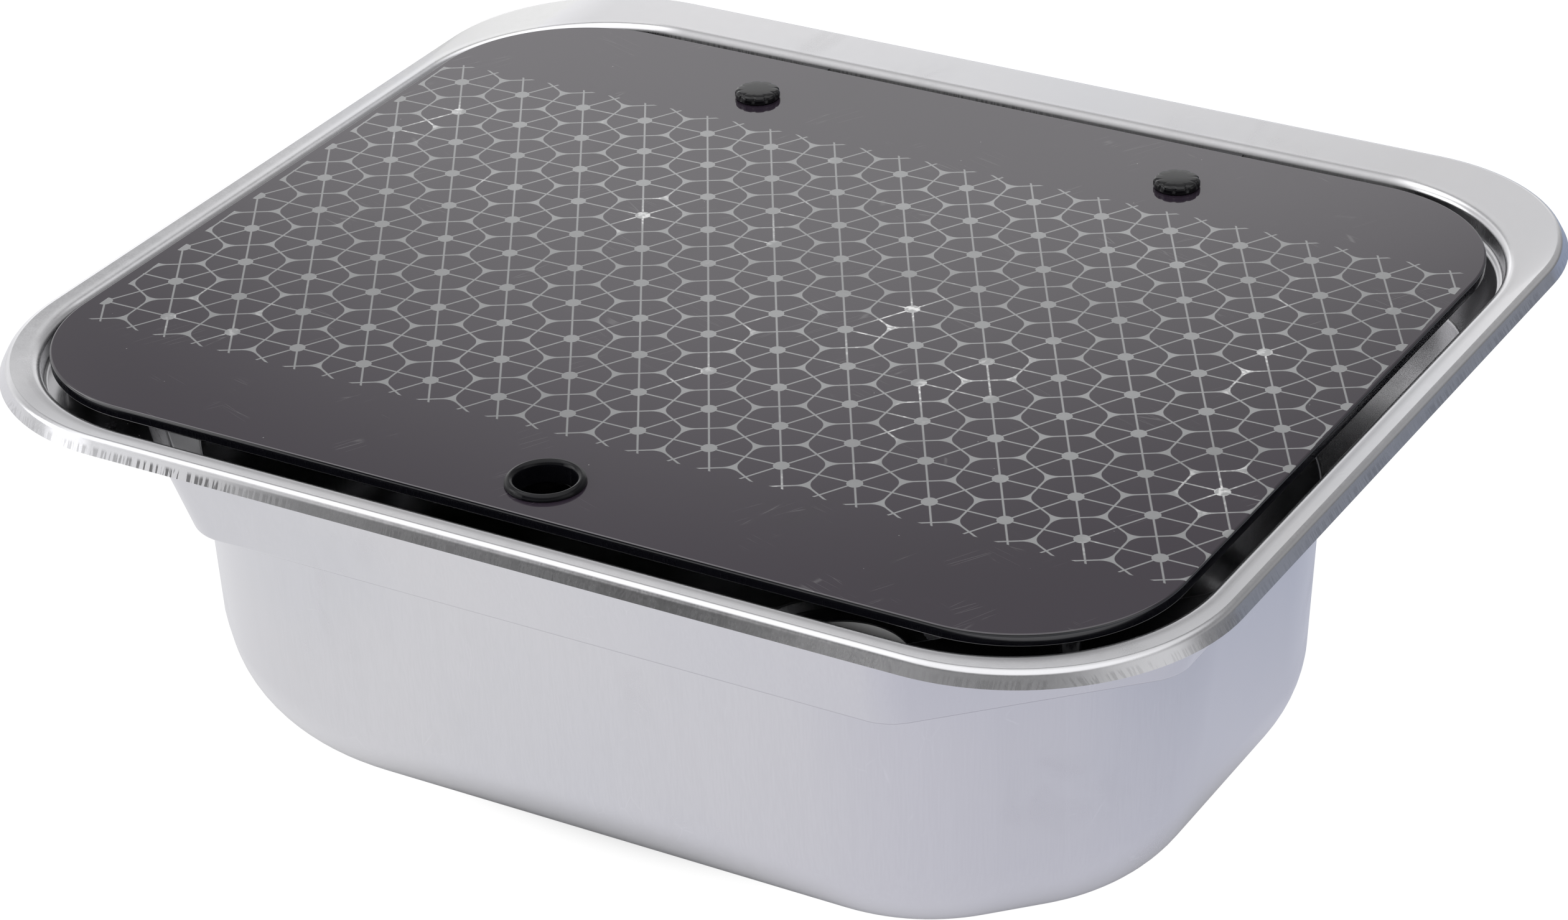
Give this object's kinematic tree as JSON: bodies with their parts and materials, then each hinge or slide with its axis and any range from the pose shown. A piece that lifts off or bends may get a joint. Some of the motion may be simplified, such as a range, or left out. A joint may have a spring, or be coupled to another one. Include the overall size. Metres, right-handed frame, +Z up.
{
  "type": "caravan sink with folding glass lid",
  "caption": "Drop-in stainless bowl for a motorhome worktop, closed by a hinged flat glass lid with a finger hole.",
  "frame": {"origin": "Centre of the rim's outline, on the worktop's surface that the rim's lower edge meets.", "axes": "+X runs to the right along the sink's length, +Y from the finger hole at the front towards the hinges at the back, +Z up out of the worktop."},
  "size_m": [0.5, 0.438, 0.1656],
  "materials": {
    "stainless_sheet": "satin pressed stainless, fine draw lines, smudged by handling",
    "zinc_steel": "plain bright zinc-plated pressings, pins and fasteners",
    "black_glass": "polished toughened glass, dark ceramic print under it with a silver dotted honeycomb",
    "black_rubber": "smooth moulded rubber, slightly glossy",
    "black_cap": "glossy moulded cover caps with shallow dents",
    "nylon": "plain white bushes",
    "foam_seal": "matt closed-cell foam strip"
  },
  "bodies": {
    "sink": {"sink_bowl": "stainless_sheet", "rim_seal": "foam_seal", "hinge_bracket_left": "zinc_steel", "hinge_pin_left": "zinc_steel", "bracket_rivet_left_1": "zinc_steel", "bracket_rivet_left_2": "zinc_steel", "hinge_bracket_right": "zinc_steel", "hinge_pin_right": "zinc_steel", "bracket_rivet_right_1": "zinc_steel", "bracket_rivet_right_2": "zinc_steel"},
    "lid": {"glass_lid": "black_glass", "finger_grommet": "black_rubber", "hinge_cap_left": "black_cap", "hinge_screw_left": "zinc_steel", "hinge_bush_left": "nylon", "hinge_pad_left": "black_rubber", "hinge_arm_left": "zinc_steel", "hinge_nut_left": "zinc_steel", "lid_bumper_left": "black_rubber", "hinge_cap_right": "black_cap", "hinge_screw_right": "zinc_steel", "hinge_bush_right": "nylon", "hinge_pad_right": "black_rubber", "hinge_arm_right": "zinc_steel", "hinge_nut_right": "zinc_steel", "lid_bumper_right": "black_rubber"}
  },
  "joints": [
    {"name": "lid_hinge", "type": "hinge", "parent": "sink", "child": "lid", "pos_m": [0, 0.1782, 0.002], "axis": [-1, 0, 0], "range_deg": [0, 95]}
  ]
}
